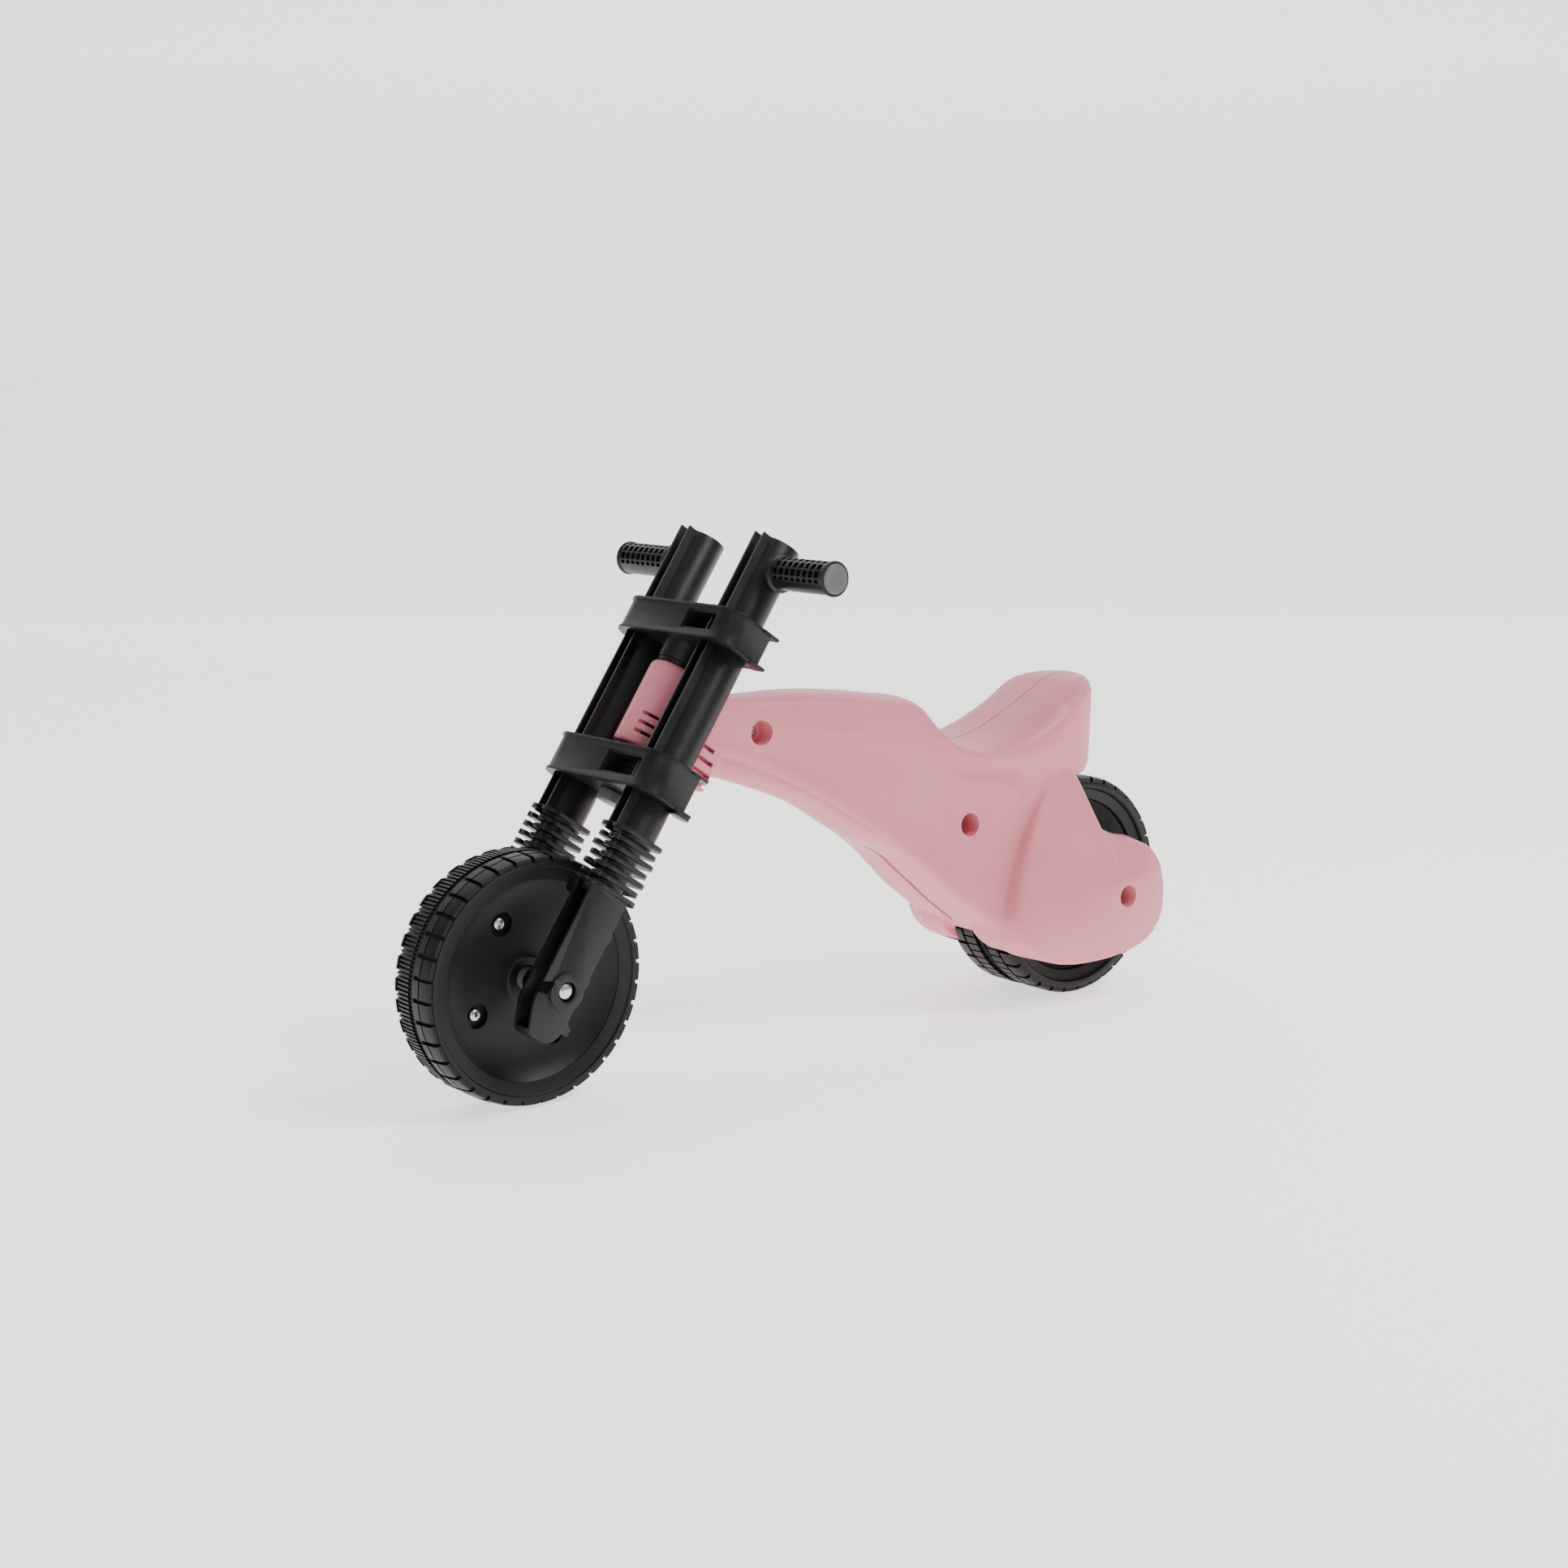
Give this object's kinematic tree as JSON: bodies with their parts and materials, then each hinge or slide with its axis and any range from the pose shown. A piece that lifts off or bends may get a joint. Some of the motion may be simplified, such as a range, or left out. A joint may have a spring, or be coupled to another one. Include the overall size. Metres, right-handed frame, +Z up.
{
  "type": "toddler balance bike",
  "caption": "Moulded toddler balance bike: two-part saddle body, steering fork with yokes and gaiters, one front wheel, twin rear wheels under the seat.",
  "frame": {"origin": "on the floor, midway between the front of the front wheel and the back of the rear wheels, on the middle plane", "axes": "+X forward, +Y to the rider's left, +Z up"},
  "size_m": [0.7034, 0.244, 0.3945],
  "materials": {
    "pink_shell": "satin",
    "black_plastic": "satin moulded",
    "wheel_plastic": "satin moulded",
    "grey_plastic": "satin",
    "bright_steel": "bright zinc plate"
  },
  "bodies": {
    "frame": {"body_shell_left": "pink_shell", "body_shell_right": "pink_shell", "body_screw_neck": "bright_steel", "body_screw_mid": "bright_steel", "head_bush_upper": "black_plastic", "head_bush_lower": "black_plastic", "rear_axle": "bright_steel", "rear_spacer": "black_plastic", "axle_retainer_left": "bright_steel", "axle_retainer_right": "bright_steel"},
    "fork": {"fork_leg_left": "black_plastic", "fork_leg_right": "black_plastic", "upper_yoke": "black_plastic", "lower_yoke": "black_plastic", "handgrip_left": "black_plastic", "handgrip_right": "black_plastic", "grip_plug_left": "grey_plastic", "grip_plug_right": "grey_plastic", "steering_pin": "grey_plastic", "steering_pin_nut": "bright_steel", "front_axle": "bright_steel", "front_axle_nut": "bright_steel", "front_spacer_left": "black_plastic", "front_spacer_right": "black_plastic"},
    "front_wheel": {"front_wheel_half_left": "wheel_plastic", "front_wheel_half_right": "wheel_plastic", "front_hub_bush": "grey_plastic", "front_wheel_screw_1": "bright_steel", "front_wheel_screw_2": "bright_steel", "front_wheel_screw_3": "bright_steel", "front_wheel_screw_4": "bright_steel"},
    "rear_left": {"rear_wheel_left": "wheel_plastic", "rear_hub_bush_left": "grey_plastic"},
    "rear_right": {"rear_wheel_right": "wheel_plastic", "rear_hub_bush_right": "grey_plastic"}
  },
  "joints": [
    {"name": "steer", "type": "hinge", "parent": "frame", "child": "fork", "pos_m": [0.14239, 0, 0.26762], "axis": [-0.5577, 0, 0.83], "range_deg": [-25, 25]},
    {"name": "front_wheel_spin", "type": "hinge", "parent": "fork", "child": "front_wheel", "pos_m": [0.26175, 0, 0.09], "axis": [0, 1, 0], "continuous": true},
    {"name": "rear_left_spin", "type": "hinge", "parent": "frame", "child": "rear_left", "pos_m": [-0.26175, 0, 0.09], "axis": [0, 1, 0], "continuous": true},
    {"name": "rear_right_spin", "type": "hinge", "parent": "frame", "child": "rear_right", "pos_m": [-0.26175, 0, 0.09], "axis": [0, 1, 0], "continuous": true}
  ]
}
